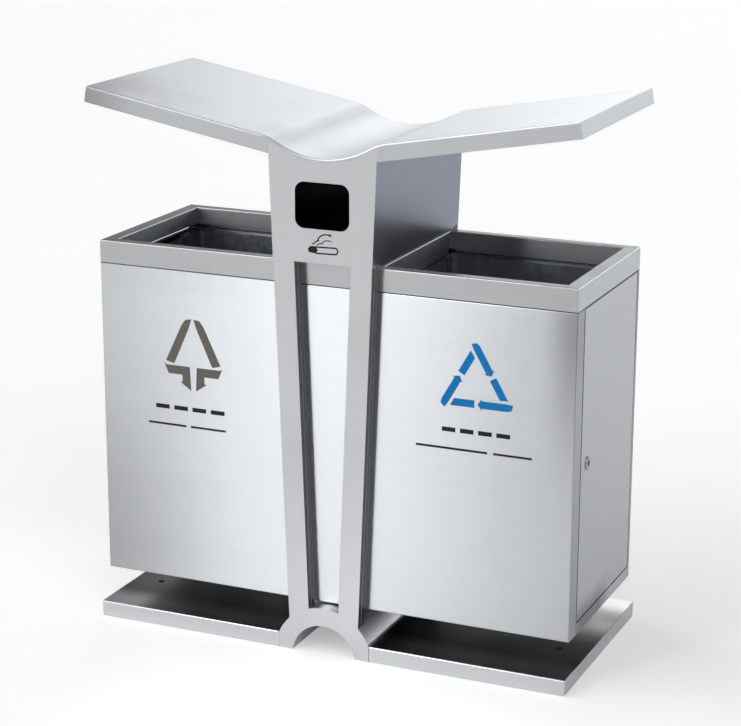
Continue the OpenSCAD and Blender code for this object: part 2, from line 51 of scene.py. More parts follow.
MM = 0.001
SIDES = ("left", "right")
WHITE = (1.0, 1.0, 1.0, 1.0)


# ---------------------------------------------------------------- places taken from the frame

front_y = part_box("body_front_panel")[0].y
column_y, head_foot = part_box("head_front_panel")[0].yz
rim_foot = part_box("rim_front")[0].z
rim_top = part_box("rim_front")[1].z
door_low, door_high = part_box("right_door")
tray_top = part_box("base_left")[1].z


# ---------------------------------------------------------------- node helpers

# noise lies mostly between these two values, so a ramp over them uses the whole pattern
NOISE_SPAN = (0.3, 0.7)


class Graph:
    """A short way of adding and linking shader nodes."""

    def __init__(self, tree):
        self.tree = tree
        self.links = tree.links

    def add(self, kind, **settings):
        node = self.tree.nodes.new(kind)
        for key, value in settings.items():
            setattr(node, key, value)
        return node

    def put(self, node, name, value):
        """Links an output to the named input, or sets the input to a plain value."""
        socket = node.inputs[name]
        if hasattr(value, "is_output"):
            self.links.new(value, socket)
        else:
            socket.default_value = value

    def math(self, operation, a, b=0.0, clamp=False):
        node = self.add("ShaderNodeMath", operation=operation, use_clamp=clamp)
        self.put(node, 0, a)
        self.put(node, 1, b)
        return node.outputs[0]

    def product(self, first, *others):
        result = first
        for other in others:
            result = self.math("MULTIPLY", result, other)
        return result

    def most(self, first, *others):
        """The largest of the values."""
        result = first
        for other in others:
            result = self.math("MAXIMUM", result, other)
        return result

    def size(self, value):
        """The value without its sign."""
        return self.math("ABSOLUTE", value)

    def axes(self, vector):
        """The X, Y and Z of a vector."""
        split = self.add("ShaderNodeSeparateXYZ")
        self.put(split, 0, vector)
        return tuple(split.outputs)

    def ramp(self, value, low, high, to_low=0.0, to_high=1.0):
        """A smooth step from to_low to to_high, as the value goes from low to high."""
        node = self.add("ShaderNodeMapRange", interpolation_type="SMOOTHSTEP")
        for name, number in (
            ("Value", value),
            ("From Min", low),
            ("From Max", high),
            ("To Min", to_low),
            ("To Max", to_high),
        ):
            self.put(node, name, number)
        return node.outputs[0]

    def noise(self, vector, scale, detail=2.0, roughness=0.5):
        node = self.add("ShaderNodeTexNoise")
        self.put(node, "Vector", vector)
        self.put(node, "Scale", scale)
        self.put(node, "Detail", detail)
        self.put(node, "Roughness", roughness)
        return node.outputs["Fac"]

    def stretched(self, vector, scale):
        node = self.add("ShaderNodeMapping")
        self.put(node, "Vector", vector)
        self.put(node, "Scale", scale)
        return node.outputs[0]

    def mix(self, share, a, b):
        """Colour a where the share is 0, and colour b where it is 1."""
        node = self.add("ShaderNodeMix", data_type="RGBA")
        self.put(node, 0, share)
        self.put(node, 6, a)
        self.put(node, 7, b)
        return node.outputs[2]

    def relief(self, shader, height, strength, depth):
        """Bump on a shader from a height pattern; the depth is in metres."""
        bump = self.add("ShaderNodeBump")
        self.put(bump, "Strength", strength)
        self.put(bump, "Distance", depth)
        self.put(bump, "Height", height)
        self.put(shader, "Normal", bump.outputs[0])


def new_material(name):
    """A material with one empty shader, and the place on the object as the pattern's coordinates."""
    material = bpy.data.materials.new(name)
    material.use_nodes = True
    graph = Graph(material.node_tree)
    material.node_tree.nodes.clear()
    shader = graph.add("ShaderNodeBsdfPrincipled")
    output = graph.add("ShaderNodeOutputMaterial")
    graph.links.new(shader.outputs[0], output.inputs[0])
    place = graph.add("ShaderNodeTexCoord").outputs["Object"]
    return material, graph, shader, place


def opaque(colour, factor=1.0):
    """The colour times a factor, with an alpha of one."""
    return tuple(factor * part for part in colour) + (1.0,)


# ---------------------------------------------------------------- painted shade

# The masks below paint shade on a sheet in fixed places, from 0 for the bare sheet to 1 for near black.
# The head's inside, the seams and the gaps get painted shade. The rest is painted shade that stands in
# for what the real sheets mirror and this studio doesn't have. Their spans on X, Y and Z are in metres.
# the near-black colour of the painted shade
SHADE_BLACK = (0.012, 0.012, 0.013)
DARK = {
    "tray_under_body": 0.93,
    "tray_edge": 0.52,
    "leg_side": 0.8,
    "rim_top": 0.87,
    "rim_seam": 0.92,
    "front_flange": 0.28,
    "front_lower_left": 0.36,
    "front_upper_right": 0.42,
    "front_seam": 0.7,
    "canopy_strip": 0.36,
    "canopy_left_corner": 0.34,
    "door_foot": 0.6,
    "door_gap": 0.8,
}
# the share of a face's normal along an axis from which the face begins to count as facing that axis,
# and the share from which it fully counts
FACING_AXIS = (0.75, 0.95)


def facing(graph, axis, amount):
    """The given amount on the faces that look along one axis, either way, and zero elsewhere."""
    normal = graph.add("ShaderNodeNewGeometry").outputs["Normal"]
    part = graph.axes(normal)["XYZ".index(axis)]
    return graph.ramp(graph.size(part), *FACING_AXIS, 0.0, amount)


def near_height(graph, z, height, reach, amount):
    """The given amount within a short reach of one height, and zero above and below it."""
    off = graph.size(graph.math("SUBTRACT", z, height))
    return graph.ramp(off, 0.5 * reach, reach, amount, 0.0)


def inside_head(graph, place):
    """One on the faces inside the column's head, which get near-black painted shade, and zero outside."""
    # the limits lie between both faces of the sheets; on the sides, half the width is foot + flare * z
    foot, flare = 64.9 * MM, 0.0389
    front_sheet_middle = abs(column_y) - 0.9 * MM
    x, y, z = graph.axes(place)
    half_width = graph.math("ADD", graph.product(z, flare), foot)
    behind_front = graph.math("LESS_THAN", graph.size(y), front_sheet_middle)
    between_sides = graph.math("LESS_THAN", graph.size(x), half_width)
    above_floor = graph.math("GREATER_THAN", z, head_foot + 0.2 * MM)
    return graph.product(behind_front, between_sides, above_floor)


def on_tray_top(graph, place):
    """Dark and slightly cloudy tops on the trays, in place of the underside that they mirror."""
    _, y, z = graph.axes(place)
    top = graph.ramp(z, tray_top - 1.5 * MM, tray_top - 0.2 * MM)
    cloud = graph.ramp(graph.noise(place, 9.0, detail=4.0), *NOISE_SPAN, 0.94, 1.06)
    under_body, in_the_open = 0.115, 0.175
    from_middle = graph.size(y)
    amount = graph.ramp(from_middle, under_body, in_the_open, DARK["tray_under_body"], DARK["tray_edge"])
    return graph.product(top, graph.product(cloud, amount))


def on_leg_sides(graph, place):
    """Painted shade on the legs' narrow sides, in place of the too bright floor that they would otherwise
    mirror.
    """
    return facing(graph, "X", DARK["leg_side"])


def on_rim_top(graph, place):
    """Painted shade on the rims' narrow tops in place of a reflection, and painted shade in the seam under
    the rim.
    """
    _, _, z = graph.axes(place)
    seam = near_height(graph, z, rim_foot, 2.0 * MM, DARK["rim_seam"])
    return graph.most(facing(graph, "Z", DARK["rim_top"]), seam)


def on_front_sheet(graph, place):
    """Painted shade that evens out the mirrored light beside the doors and near two corners, and painted
    shade in the seam.
    """
    x, _, z = graph.axes(place)
    to_the_left = graph.ramp(x, -0.46, -0.12, 1.0, 0.0)
    low_down = graph.ramp(z, 0.1, 0.62, DARK["front_lower_left"], 0.0)
    to_the_right = graph.ramp(x, 0.385, 0.45, 0.0, 1.0)
    high_up = graph.ramp(z, 0.3, 0.68, 0.0, DARK["front_upper_right"])
    lower_left = graph.product(to_the_left, low_down)
    corners = graph.math("ADD", lower_left, graph.product(to_the_right, high_up))
    seam = near_height(graph, z, rim_foot, 0.8 * MM, DARK["front_seam"])
    return graph.most(facing(graph, "X", DARK["front_flange"]), corners, seam)


def on_canopy(graph, place):
    """Painted shade that evens out the mirrored light: darker front and rear strips, and one darker corner
    on the top.
    """
    x, y, _ = graph.axes(place)
    to_the_left = graph.ramp(x, -0.47, -0.33, DARK["canopy_left_corner"], 0.0)
    to_the_front = graph.ramp(y, -0.2, 0.05, 1.0, 0.0)
    corner = graph.product(to_the_left, to_the_front)
    strip = facing(graph, "Y", DARK["canopy_strip"])
    not_strip = graph.math("SUBTRACT", 1.0, strip)
    return graph.math("ADD", strip, graph.product(corner, not_strip))


def near_door_foot(graph, place):
    """A darker patch near the door's lower front corner, in place of a reflection."""
    _, y, z = graph.axes(place)
    low_down = graph.ramp(z, 0.105, 0.155, DARK["door_foot"], 0.0)
    near_front = graph.ramp(y, -0.02, 0.06, 1.0, 0.12)
    edge = graph.ramp(y, -0.15, -0.11, 0.5, 1.0)
    return graph.product(low_down, graph.product(near_front, edge))


def on_door(graph, place):
    """The painted dark patch, and painted shade in the gaps above the door and in front of it."""
    _, y, z = graph.axes(place)
    gap_reach = 1.8 * MM
    upper_gap = near_height(graph, z, door_high.z, gap_reach, DARK["door_gap"])
    from_front_edge = graph.math("SUBTRACT", y, door_low.y)
    front_gap = graph.ramp(from_front_edge, 0.5 * gap_reach, gap_reach, DARK["door_gap"], 0.0)
    return graph.most(near_door_foot(graph, place), upper_gap, front_gap)


# ---------------------------------------------------------------- kinds of material

# the brush strokes are long along the grain and fine across it: repeats per metre on X, Y and Z
ALONG, ACROSS = 14.0, 1500.0
GRAIN = {
    "level": (ALONG, ALONG, ACROSS),
    "upright": (ACROSS, ACROSS, ALONG),
    "along_x": (ALONG, ACROSS, ACROSS),
    "along_y": (ACROSS, ALONG, ACROSS),
}
# The highlight spreads across the strokes. A slight lean keeps it defined on faces of every direction,
# and the level grain's lean on X balances the light on the left and right halves of the front.
SPREAD = {
    "level": (0.022, 0.06, 1.0),
    "upright": (0.7, 0.7, 0.06),
    "along_x": (0.0, 0.7, 0.7),
    "along_y": (0.7, 0.0, 0.7),
}
# how often the broad bands repeat, as a share of the strokes' repeats
BAND_SHARE = 0.14
# the sheet where it is deepest, brightest and most worn, as shares of its base colour
DEEP, BRIGHT, WORN = 0.97, 1.02, 0.86


def lean_highlight(graph, shader, grain):
    """Spreads a brushed sheet's highlight across its strokes."""
    tangent = graph.add("ShaderNodeCombineXYZ")
    for axis, part in zip("XYZ", SPREAD[grain]):
        graph.put(tangent, axis, part)
    graph.put(shader, "Tangent", tangent.outputs[0])


def brushed_steel(name, colour, grain, rough, stretch, marks=0.5, painted_shade=None):
    """Stainless sheet with brush strokes, faint handling marks and a varying gloss.

    The stretch draws the highlight out across the strokes, and the last argument is a mask that paints
    shade on the sheet.
    """
    material, graph, shader, place = new_material(name)
    strokes = graph.noise(graph.stretched(place, GRAIN[grain]), 1.0, detail=3.0)
    wide = tuple(BAND_SHARE * step for step in GRAIN[grain])
    bands = graph.noise(graph.stretched(place, wide), 1.0, detail=2.0)
    smears = graph.noise(place, 5.5, detail=4.0, roughness=0.6)
    specks = graph.noise(place, 90.0, detail=2.0)
    fine_tone = graph.ramp(strokes, *NOISE_SPAN, -0.5, 0.5)
    tone = graph.math("ADD", fine_tone, graph.ramp(bands, *NOISE_SPAN, -0.5, 0.5))
    worn = graph.ramp(smears, 0.45, 0.75, 0.0, marks)

    light_share = graph.math("ADD", graph.product(tone, 0.4), 0.5, clamp=True)
    shade = graph.mix(light_share, opaque(colour, DEEP), opaque(colour, BRIGHT))
    shade = graph.mix(graph.product(worn, 0.5), shade, opaque(colour, WORN))
    # painted shade from the mask, towards near black
    if painted_shade:
        shade = graph.mix(painted_shade(graph, place), shade, opaque(SHADE_BLACK))
    graph.put(shader, "Base Color", shade)

    uneven = graph.math("ADD", graph.product(tone, 0.02), graph.product(worn, 0.05))
    uneven = graph.math("ADD", uneven, graph.ramp(specks, 0.62, 0.74, 0.0, 0.04))
    graph.put(shader, "Roughness", graph.math("ADD", uneven, rough, clamp=True))
    graph.put(shader, "Metallic", 1.0)
    graph.put(shader, "Anisotropic", stretch)
    lean_highlight(graph, shader, grain)
    graph.relief(shader, strokes, 0.12, 0.06 * MM)
    return material


def galvanised_sheet(name):
    """Dull zinc-coated sheet with crystals and drip stains."""
    dark_zinc, pale_zinc, stain = (0.22, 0.24, 0.275), (0.36, 0.385, 0.43), (0.08, 0.086, 0.1)
    material, graph, shader, place = new_material(name)
    crystals = graph.add("ShaderNodeTexVoronoi")
    graph.put(crystals, "Vector", place)
    graph.put(crystals, "Scale", 70.0)
    drips = graph.noise(graph.stretched(place, (26.0, 26.0, 1.6)), 1.0, detail=4.0)
    shade = graph.mix(crystals.outputs["Color"], opaque(dark_zinc), opaque(pale_zinc))
    shade = graph.mix(graph.ramp(drips, 0.42, 0.7, 0.0, 0.45), shade, opaque(stain))
    graph.put(shader, "Base Color", shade)
    graph.put(shader, "Metallic", 1.0)
    graph.put(shader, "Roughness", graph.ramp(drips, 0.3, 0.8, 0.42, 0.7))
    graph.relief(shader, drips, 0.2, 0.2 * MM)
    return material


def plain_metal(name, colour, rough, grime=0.4):
    """Turned, chromed or mill-finish steel with a little grime."""
    material, graph, shader, place = new_material(name)
    fine = graph.noise(place, 700.0, detail=2.0)
    broad = graph.noise(place, 24.0, detail=3.0)
    shade = graph.mix(fine, opaque(colour, 0.9), opaque(colour))
    shade = graph.mix(graph.ramp(broad, 0.5, 0.75, 0.0, grime), shade, opaque(colour, 0.45))
    graph.put(shader, "Base Color", shade)
    graph.put(shader, "Metallic", 1.0)
    graph.put(shader, "Roughness", graph.ramp(broad, 0.3, 0.8, rough, rough + 0.18))
    graph.relief(shader, fine, 0.1, 0.1 * MM)
    return material


def printed_ink(name, colour):
    """Screen-printed ink, a little uneven and hardly shiny."""
    material, graph, shader, place = new_material(name)
    patches = graph.noise(place, 160.0, detail=3.0)
    shade = graph.mix(graph.ramp(patches, 0.4, 0.7), opaque(colour), opaque(colour, 1.12))
    graph.put(shader, "Base Color", shade)
    graph.put(shader, "Roughness", graph.ramp(patches, *NOISE_SPAN, 0.42, 0.55))
    graph.put(shader, "Specular IOR Level", 0.12)
    graph.relief(shader, patches, 0.1, 0.1 * MM)
    return material


# ---------------------------------------------------------------- materials of the slots

PANEL = (0.62, 0.64, 0.665)
RIM = (0.55, 0.556, 0.57)
# The canopy, column and base colours below are lighter copies of the same steel: painted light.
CANOPY_LIT = (0.9, 0.93, 0.97)
COLUMN_LIT = (0.83, 0.84, 0.86)
BASE_LIT = (0.84, 0.86, 0.88)
SHEETS = {
    "satin_panel": dict(colour=PANEL, grain="level", rough=0.3, stretch=1.0),
    "satin_rim": dict(colour=RIM, grain="level", rough=0.3, stretch=0.6, painted_shade=on_rim_top),
    "satin_canopy": dict(colour=CANOPY_LIT, grain="along_x", rough=0.42, stretch=0.4, painted_shade=on_canopy),
    "satin_column": dict(colour=COLUMN_LIT, grain="upright", rough=0.4, stretch=0.6, painted_shade=inside_head),
    "polished_base": dict(
        colour=BASE_LIT, grain="along_x", rough=0.2, stretch=0.3, marks=0.8, painted_shade=on_tray_top
    ),
}
METALS = {
    "inner_steel": dict(colour=(0.22, 0.225, 0.235), rough=0.45),
    "pin_steel": dict(colour=(0.42, 0.42, 0.43), rough=0.3),
    "lock_chrome": dict(colour=(0.62, 0.62, 0.63), rough=0.16),
    "handle_wire": dict(colour=(0.5, 0.51, 0.53), rough=0.34),
}
INKS = {
    "blue_ink": (0.009, 0.19, 0.51),
    "grey_ink": (0.155, 0.14, 0.125),
    "dark_ink": (0.022, 0.02, 0.019),
}

STEEL = {name: brushed_steel(name, **look) for name, look in SHEETS.items()}
STEEL["galvanised_sheet"] = galvanised_sheet("galvanised_sheet")
STEEL.update({name: plain_metal(name, **look) for name, look in METALS.items()})
INK = {name: printed_ink(name, colour) for name, colour in INKS.items()}

# nodes that look different from the rest of their slot
OWN_LOOK = {}


def give(material, *node_names):
    """Gives the nodes this material in place of their slot's."""
    for node_name in node_names:
        OWN_LOOK[node_name] = material


def both(ending):
    """The names of the left and the right node of a kind."""
    return [f"{side}_{ending}" for side in SIDES]


# A darker copy of the column's steel as painted shade on the head's sides, with the near-black painted
# shade inside the head
give(
    brushed_steel("head_side", (0.42, 0.445, 0.53), "upright", rough=0.36, stretch=0.6, painted_shade=inside_head),
    "head_left_side",
    "head_right_side",
)
give(
    brushed_steel("leg_sheet", COLUMN_LIT, "upright", rough=0.4, stretch=0.6, painted_shade=on_leg_sides),
    *[name for name in nodes if name.endswith("_leg")],
)
give(
    brushed_steel("wing_end", (0.61, 0.64, 0.675), "along_y", rough=0.36, stretch=0.4),
    *both("wing_end"),
)
give(
    brushed_steel("rim_end", (0.67, 0.71, 0.75), "level", rough=0.3, stretch=0.6, painted_shade=on_rim_top),
    "rim_left_end",
    "rim_right_end",
)
give(
    brushed_steel("front_sheet", PANEL, "level", rough=0.3, stretch=1.0, painted_shade=on_front_sheet),
    "body_front_panel",
    "body_rear_panel",
)
give(plain_metal("key_plug", (0.05, 0.05, 0.055), rough=0.3), *both("lock_plug"))
give(
    brushed_steel("sill_sheet", (0.6, 0.62, 0.65), "level", rough=0.3, stretch=1.0, painted_shade=near_door_foot),
    *both("door_sill"),
)
give(
    brushed_steel("door_sheet", (0.58, 0.605, 0.64), "level", rough=0.3, stretch=1.0, painted_shade=on_door),
    *both("door"),
)
# near-black painted shade on the parts inside the head
give(
    plain_metal("shaded_black_sheet", (0.03, 0.03, 0.032), rough=0.6),
    "head_floor",
    "drawer_guides",
    "ash_drawer",
)

for row in frame["record"]["subparts"]:
    node = nodes[row["node"]]
    node.data.materials.clear()
    node.data.materials.append(OWN_LOOK.get(row["node"], STEEL[row["material_slot"]]))


# ---------------------------------------------------------------- folded and cut edges

# wider than the sheet's cut edge and narrower than every folded flange
PROBE_DEPTH = 2.2 * MM
WELD_GAP = 0.01 * MM
FLAT_ANGLE = math.radians(0.1)
LEAST_FOLD_ANGLE = math.radians(50)
LEAST_CUT_ANGLE = math.radians(40)
CUT_EASE = 0.35 * MM
FLUSH_EASE = 0.18 * MM


def broad_beside(edge, face):
    """True where the sheet lies beside the edge, false on the narrow face where it was cut."""
    loop = next(loop for loop in edge.link_loops if loop.face == face)
    start, end = loop.vert.co, loop.link_loop_next.vert.co
    along = (end - start).normalized()
    inward = face.normal.cross(along)
    probe = (start + end) / 2 + PROBE_DEPTH * inward
    flat = [((v.co - probe).dot(along), (v.co - probe).dot(inward)) for v in face.verts]
    inside = False
    for (x0, z0), (x1, z1) in zip(flat, flat[1:] + flat[:1]):
        if (z0 > 0) != (z1 > 0) and x0 - z0 * (x1 - x0) / (z1 - z0) > 0:
            inside = not inside
    return inside


def find_folds(node):
    """Both ends of every outer fold: a convex edge between two broad faces."""
    mesh = bmesh.new()
    mesh.from_mesh(node.data)
    bmesh.ops.remove_doubles(mesh, verts=mesh.verts, dist=WELD_GAP)
    bmesh.ops.dissolve_limit(mesh, angle_limit=FLAT_ANGLE, verts=mesh.verts, edges=mesh.edges)
    folds = []
    for edge in mesh.edges:
        if len(edge.link_faces) != 2 or not edge.is_convex:
            continue
        if edge.calc_face_angle() < LEAST_FOLD_ANGLE:
            continue
        if all(broad_beside(edge, face) for face in edge.link_faces):
            folds.append((edge.verts[0].co.copy(), edge.verts[1].co.copy()))
    mesh.free()
    return folds


def on_line(point, start, along, length):
    """True where the point lies on the line, within a hair."""
    offset = point - start
    reach = offset.dot(along)
    near = 0.02 * MM
    return -near < reach < length + near and (offset - reach * along).length < near


def mark_folds(node):
    """Gives the mesh edges that lie on a fold a bevel weight of one."""
    lines = []
    for start, end in find_folds(node):
        along = (end - start).normalized()
        lines.append((start, along, (end - start).length))
    weight = node.data.attributes.new("bevel_weight_edge", "FLOAT", "EDGE")
    places = [vertex.co.copy() for vertex in node.data.vertices]
    touching = [{i for i, line in enumerate(lines) if on_line(place, *line)} for place in places]
    for edge in node.data.edges:
        first, second = edge.vertices
        if touching[first] & touching[second]:
            weight.data[edge.index].value = 1.0


def add_modifier(node, name, kind, **settings):
    modifier = node.modifiers.new(name, kind)
    for key, value in settings.items():
        setattr(modifier, key, value)


def round_edges(node, cut, fold):
    """Eases every cut edge, and rolls the folds to the given radius unless it is zero."""
    for polygon in node.data.polygons:
        polygon.use_smooth = True
    add_modifier(node, "weld", "WELD", merge_threshold=WELD_GAP)
    add_modifier(node, "flat", "DECIMATE", decimate_type="DISSOLVE", angle_limit=FLAT_ANGLE)
    if fold:
        mark_folds(node)
        roll = {"limit_method": "WEIGHT", "width": fold, "segments": 4, "use_clamp_overlap": False}
        add_modifier(node, "fold", "BEVEL", **roll)
    ease = {"limit_method": "ANGLE", "angle_limit": LEAST_CUT_ANGLE, "width": cut, "segments": 2}
    add_modifier(node, "cut", "BEVEL", use_clamp_overlap=True, harden_normals=False, **ease)
    add_modifier(node, "even", "WEIGHTED_NORMAL", mode="FACE_AREA", weight=100, keep_sharp=False)


def fold_radius(name):
    """The outer radius of a node's folds, or zero where it has none that show."""
    if name == "canopy_skin":
        return 3.0 * MM
    if name in ("base_left", "base_right"):
        return 2.5 * MM
    if name == "body_rear_panel":
        return 1.0 * MM
    if name.endswith("_leg"):
        return 1.6 * MM
    if name == "body_front_panel" or name.startswith("rim_") or name.endswith("_door"):
        return 1.8 * MM
    return 0.0


def ground_flush(name):
    """True for the sheets that meet others in a flush ground corner, where a wide edge would show."""
    panels = ("head_front_panel", "head_rear_panel", "arch_front_plate", "arch_rear_plate")
    return name in panels or name.endswith("_leg")


for name, node in nodes.items():
    round_edges(node, FLUSH_EASE if ground_flush(name) else CUT_EASE, fold_radius(name))


# ---------------------------------------------------------------- new pieces


def add_piece(name, mesh, material, smooth=False):
    """Makes a piece of a bmesh, fixed to the cabinet."""
    data = bpy.data.meshes.new(name)
    mesh.to_mesh(data)
    mesh.free()
    data.materials.append(material)
    for polygon in data.polygons:
        polygon.use_smooth = smooth
    piece = bpy.data.objects.new(name, data)
    scene.collection.objects.link(piece)
    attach(piece, "cabinet")
    return piece


# ---------------------------------------------------------------- printed signs, drawn in millimetres

INK_DEPTH = 0.08 * MM
INK_SUNK = 0.02 * MM


def print_on(name, outlines, face_y, ink):
    """Ink of a set thickness on a front face, with its back just under the sheet's surface."""
    mesh = bmesh.new()
    for outline in outlines:
        back = [mesh.verts.new((x * MM, face_y + INK_SUNK, z * MM)) for x, z in outline]
        front = [mesh.verts.new((x * MM, face_y - INK_DEPTH, z * MM)) for x, z in outline]
        mesh.faces.new(back)
        mesh.faces.new(front)
        for i, low_vertex in enumerate(back):
            j = (i + 1) % len(back)
            mesh.faces.new((low_vertex, back[j], front[j], front[i]))
    bmesh.ops.recalc_face_normals(mesh, faces=mesh.faces)
    return add_piece(name, mesh, INK[ink])


def rotated(points, turn, centre):
    c, s = math.cos(turn), math.sin(turn)
    return [(centre[0] + x * c - z * s, centre[1] + x * s + z * c) for x, z in points]


def recycling_outlines(centre, radius, bar):
    """A triangle of three broken arrows round its centre, with bars of the given thickness."""
    half_side = radius * math.sin(math.radians(60))
    inner = radius * math.cos(math.radians(60))
    outer_z, inner_z = -inner, -inner + bar
    tail_start = half_side - 0.95 * bar
    corner = half_side - 0.35 * bar
    gap, head = 0.2 * bar, 0.6 * bar
    arrow = [
        (corner, outer_z + 0.15 * bar),
        (corner + 0.25 * bar, inner_z - 0.1 * bar),
        (tail_start, inner_z),
        (gap + head, inner_z),
        (gap + head, inner_z + 0.3 * bar),
        (gap, (outer_z + inner_z) / 2),
        (gap + head, outer_z - 0.3 * bar),
        (gap + head, outer_z),
        (tail_start, outer_z),
    ]
    tail = [
        (-gap, outer_z),
        (-gap, inner_z),
        (-half_side + 2.15 * bar, inner_z),
        (-half_side + 1.6 * bar, outer_z),
    ]
    outlines = []
    for third in range(3):
        for outline in (arrow, tail):
            outlines.append(rotated(outline, third * math.radians(120), centre))
    return outlines


def waste_outlines(centre, width, height, bar):
    """Two leaning bars over a split arrow that points down."""
    half, low = width / 2, -height / 2
    top = height / 2
    knee = low + 0.36 * height
    right = [
        [
            (0.015 * width, top),
            (0.12 * width, top - 0.1 * bar),
            (0.19 * width, top - 0.75 * bar),
            (half - 0.03 * width, knee + 0.25 * bar),
            (half - 0.03 * width - bar, knee),
            (0.07 * width, top - 1.1 * bar),
        ],
        [
            (0.06 * width, knee - 0.2 * bar),
            (half - 0.3 * bar, knee - 0.2 * bar),
            (half, knee),
            (half - 0.5 * bar, knee - 1.15 * bar),
            (0.06 * width + 0.9 * bar, knee - 1.15 * bar),
            (0.06 * width + 0.9 * bar, low + 0.9 * bar),
            (0.06 * width + 1.2 * bar, low + 0.9 * bar),
            (0.04 * width, low),
        ],
    ]
    mirrored = [[(-x, z) for x, z in outline] for outline in right]
    return [[(centre[0] + x, centre[1] + z) for x, z in outline] for outline in right + mirrored]


def bars(left, right, middle_z, height, shares):
    """A row of plain bars; shares gives each bar's start and end along the row."""
    row = []
    for start, end in shares:
        a, b = left + (right - left) * start, left + (right - left) * end
        low, high = middle_z - height / 2, middle_z + height / 2
        row.append([(a, low), (b, low), (b, high), (a, high)])
    return row


def stroke(points, width):
    """A line of even width through the points, as one quad for each step."""
    quads = []
    for (x0, z0), (x1, z1) in zip(points, points[1:]):
        length = math.hypot(x1 - x0, z1 - z0)
        nx, nz = -(z1 - z0) / length * width / 2, (x1 - x0) / length * width / 2
        one_side = [(x0 + nx, z0 + nz), (x1 + nx, z1 + nz)]
        quads.append(one_side + [(x1 - nx, z1 - nz), (x0 - nx, z0 - nz)])
    return quads


def wisp(start, run, rise, sway, ripple, ease=1.0):
    """A wavy line to the right and up; sway, sideways, and ripple, upwards, are a size and a rate each."""
    steps = 18
    points = []
    for i in range(steps + 1):
        t = i / steps
        x = start[0] + run * t + sway[0] * math.sin(sway[1] * t)
        z = start[1] + rise * t ** ease + ripple[0] * math.sin(ripple[1] * t)
        points.append((x, z))
    return points


def cigarette_outlines():
    """A lit cigarette with two wisps of smoke."""
    body = stroke([(-12, 751), (27, 752), (30, 746.5), (27, 741), (-12, 740)], width=2.6)
    ember = [[(-25, 741), (-12, 739.5), (-8, 745), (-11, 752), (-22, 752), (-27, 747)]]
    long_wisp = wisp((-18, 755), run=34, rise=22, sway=(5.5, 9.5), ripple=(3, 12), ease=0.8)
    short_wisp = wisp((-10, 754.5), run=24, rise=9, sway=(3.5, 8), ripple=(2.2, 10))
    return body + ember + stroke(long_wisp, width=2.4) + stroke(short_wisp, width=1.8)


# plain bars stand in for each caption's two lines of lettering
FOUR_BARS = ((0.0, 0.2), (0.267, 0.467), (0.533, 0.733), (0.8, 1.0))
SHORT_WORDS = ((0.0, 0.49), (0.55, 1.0))
LONG_WORDS = ((0.0, 0.62), (0.67, 1.0))

waste_sign = waste_outlines(centre=(-268, 522), width=118, height=134, bar=17)
waste_bars = bars(-346, -206, middle_z=420, height=8, shares=FOUR_BARS)
waste_bars += bars(-362, -204, middle_z=387, height=4, shares=SHORT_WORDS)
recycling_sign = recycling_outlines(centre=(276, 531), radius=80, bar=13.5)
recycling_bars = bars(214, 339, middle_z=447, height=8, shares=FOUR_BARS)
recycling_bars += bars(166, 379, middle_z=413, height=4, shares=LONG_WORDS)

print_on("recycling_sign", recycling_sign, front_y, "blue_ink")
print_on("waste_sign", waste_sign, front_y, "grey_ink")
print_on("waste_caption_bars", waste_bars, front_y, "dark_ink")
print_on("recycling_caption_bars", recycling_bars, front_y, "dark_ink")
print_on("cigarette_sign", cigarette_outlines(), column_y, "dark_ink")


# ---------------------------------------------------------------- welds


def weld_beads(name, lines):
    """Strings of small overlapping beads along upright lines, each given as x, y, low z and high z."""
    mesh = bmesh.new()
    step = 1.6 * MM
    for x, y, low_z, high_z in lines:
        for i in range(int((high_z - low_z) / step)):
            aside = 0.35 * MM * math.sin(4.1 * i)
            place = Matrix.Translation((x + aside, y - aside, low_z + (i + 0.6) * step))
            size = (1.25 + 0.3 * math.sin(2.3 * i)) * MM
            bmesh.ops.create_icosphere(mesh, subdivisions=1, radius=size, matrix=place)
    return add_piece(name, mesh, STEEL["pin_steel"], smooth=True)


def rim_corners():
    """The inner corners of both rims, from the flange's lower edge up to just under the top."""
    flange_depth, below_top = 31 * MM, 2 * MM
    flange_low = rim_top - flange_depth
    front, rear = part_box("rim_front")[1].y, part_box("rim_rear")[0].y
    corners = []
    for side, sign in zip(SIDES, (-1, 1)):
        low_box, high_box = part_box(f"rim_{side}_inner")
        inner = sign * max(abs(low_box.x), abs(high_box.x))
        low_box, high_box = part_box(f"rim_{side}_end")
        outer = sign * min(abs(low_box.x), abs(high_box.x))
        for x in (inner, outer):
            for y in (front, rear):
                corners.append((x, y, flange_low, rim_top - below_top))
    return corners


weld_beads("rim_corner_welds", rim_corners())


# ---------------------------------------------------------------- camera

# from a fit to the object's straight edges in the photograph: metres, radians, and millimetres of lens
CAMERA_PLACE = (1.5452, -3.5374, 1.5851)
CAMERA_TILT = 1.2954
CAMERA_AZIMUTH = 0.4109
CAMERA_ROLL = 0.0027
LENS = 106.94
SENSOR = 36.0


def add_camera():
    """A long lens a little above the bin, in front and to its right."""
    data = bpy.data.cameras.new("camera")
    data.lens = LENS
    data.sensor_width = SENSOR
    camera = bpy.data.objects.new("camera", data)
    azimuth = Matrix.Rotation(CAMERA_AZIMUTH, 4, "Z")
    tilt = Matrix.Rotation(CAMERA_TILT, 4, "X")
    roll = Matrix.Rotation(CAMERA_ROLL, 4, "Z")
    camera.matrix_world = Matrix.Translation(CAMERA_PLACE) @ (azimuth @ tilt @ roll)
    scene.collection.objects.link(camera)
    scene.camera = camera


add_camera()


# ---------------------------------------------------------------- floor, surroundings and lights


